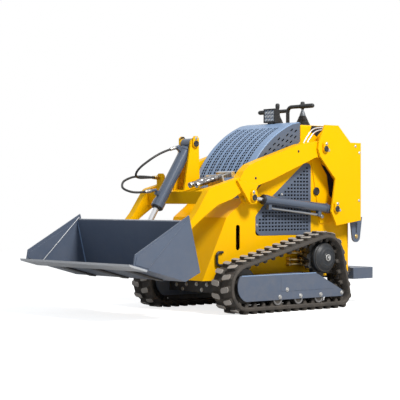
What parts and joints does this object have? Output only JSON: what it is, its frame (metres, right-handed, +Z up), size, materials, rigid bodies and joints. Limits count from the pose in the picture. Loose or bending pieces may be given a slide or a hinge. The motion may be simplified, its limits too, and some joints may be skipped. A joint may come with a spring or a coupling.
{
  "type": "tracked stand-on skid steer loader",
  "caption": "Compact stand-on skid steer loader on rubber tracks, with lift arms, a tilting bucket and a fold-up operator platform.",
  "frame": {"origin": "on the ground under the tracks, at the centre of the overall length and width", "axes": "+X forward to the bucket, +Y to the machine's left, +Z up"},
  "size_m": [2.3716, 1.096, 1.3552],
  "materials": {
    "yellow_paint": "semi-gloss",
    "slate_paint": "semi-gloss",
    "black_paint": "satin",
    "track_rubber": "matte",
    "wheel_steel": "satin",
    "chrome_rod": "polished",
    "zinc_fitting": "satin",
    "edge_steel": "satin",
    "black_plastic": "matte",
    "hose_rubber": "matte",
    "engine_iron": "matte"
  },
  "bodies": {
    "chassis": {"track_left": "track_rubber", "track_right": "track_rubber", "track_wheels": "wheel_steel", "drive_sprockets": "wheel_steel", "track_frame_left": "slate_paint", "track_frame_right": "slate_paint", "side_grille_left": "slate_paint", "side_grille_right": "slate_paint", "hood": "slate_paint", "arm_prop": "slate_paint", "drive_motors": "black_paint", "undercarriage_beams": "black_paint", "tower_pins": "black_paint", "tie_downs": "black_paint", "platform_bracket": "black_paint", "handlebar": "black_paint", "main_body": "yellow_paint", "console": "yellow_paint", "tower_left": "yellow_paint", "tower_right": "yellow_paint", "work_lamp": "black_plastic", "joysticks": "black_plastic", "engine_block": "engine_iron"},
    "loader_arms": {"loader_arm_left": "yellow_paint", "loader_arm_right": "yellow_paint", "arm_cross_member": "yellow_paint", "tilt_bracket": "yellow_paint", "arm_pins": "black_paint", "hydraulic_couplers": "zinc_fitting", "arm_pipes": "zinc_fitting", "hose_bulkhead": "black_paint"},
    "bucket_assembly": {"bucket": "slate_paint", "cutting_edge": "edge_steel", "bucket_attach_plate": "slate_paint"},
    "lift_barrels": {"lift_cylinder_barrels": "slate_paint"},
    "lift_rods": {"lift_cylinder_rods": "chrome_rod"},
    "tilt_barrel": {"tilt_cylinder_barrel": "slate_paint", "tilt_hose_upper": "hose_rubber", "tilt_hose_lower": "hose_rubber"},
    "tilt_rod": {"tilt_cylinder_rod": "chrome_rod"},
    "platform": {"operator_platform": "slate_paint"}
  },
  "joints": [
    {"name": "arm_lift", "type": "hinge", "parent": "chassis", "child": "loader_arms", "pos_m": [-0.585, 0, 1.033], "axis": [0, -1, 0], "range_deg": [-9, 62]},
    {"name": "bucket_tilt", "type": "hinge", "parent": "loader_arms", "child": "bucket_assembly", "pos_m": [0.63, 0, 0.345], "axis": [0, 1, 0], "range_deg": [-15, 95]},
    {"name": "platform_fold", "type": "hinge", "parent": "chassis", "child": "platform", "pos_m": [-0.938, 0, 0.228], "axis": [0, 1, 0], "range_deg": [0, 85]},
    {"name": "lift_barrel_swing", "type": "hinge", "parent": "chassis", "child": "lift_barrels", "pos_m": [-0.69, 0, 0.641], "axis": [0, -1, 0], "range_deg": [-7.48, 45.64]},
    {"name": "lift_rod_slide", "type": "slide", "parent": "lift_barrels", "child": "lift_rods", "axis": [0.995, 0, 0.0999], "range_m": [-0.0497, 0.3306]},
    {"name": "tilt_barrel_swing", "type": "hinge", "parent": "loader_arms", "child": "tilt_barrel", "pos_m": [0.283, 0, 1.053], "axis": [0, -1, 0], "range_deg": [-1.52, 4.33]},
    {"name": "tilt_rod_slide", "type": "slide", "parent": "tilt_barrel", "child": "tilt_rod", "axis": [0.5456, 0, -0.8381], "range_m": [-0.0362, 0.2185]}
  ],
  "couplings": [
    {"joint": "lift_barrel_swing", "follows": "arm_lift", "ratio": 0.72},
    {"joint": "lift_rod_slide", "follows": "arm_lift", "m_per_rad": 0.3037},
    {"joint": "tilt_barrel_swing", "follows": "bucket_tilt", "ratio": 0.035},
    {"joint": "tilt_rod_slide", "follows": "bucket_tilt", "m_per_rad": 0.1306}
  ]
}
